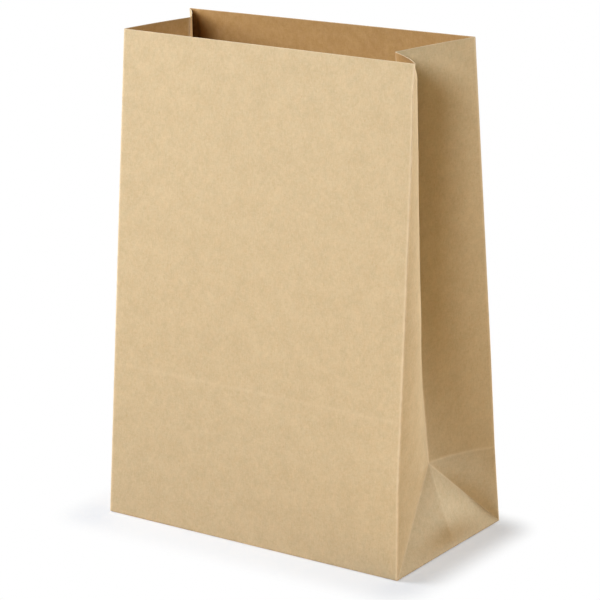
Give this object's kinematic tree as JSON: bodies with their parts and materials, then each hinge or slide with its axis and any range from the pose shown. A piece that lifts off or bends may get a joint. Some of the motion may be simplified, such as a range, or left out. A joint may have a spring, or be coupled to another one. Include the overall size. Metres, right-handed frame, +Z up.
{
  "type": "brown paper lunch bag",
  "caption": "Open gusseted brown kraft paper bag with a glued block bottom, standing on its base.",
  "frame": {"origin": "middle of the base, on the surface the bag stands on", "axes": "+Z up from the base to the mouth, +Y from the front panel to the back panel, +X to the right of someone who looks at the front panel"},
  "size_m": [0.18, 0.09, 0.2505],
  "materials": {
    "brown_kraft_paper": "matt brown kraft paper, uncoated, with fine fibres and pale wear on the creases"
  },
  "bodies": {
    "root": {"paper_bag": "brown_kraft_paper"}
  },
  "joints": []
}
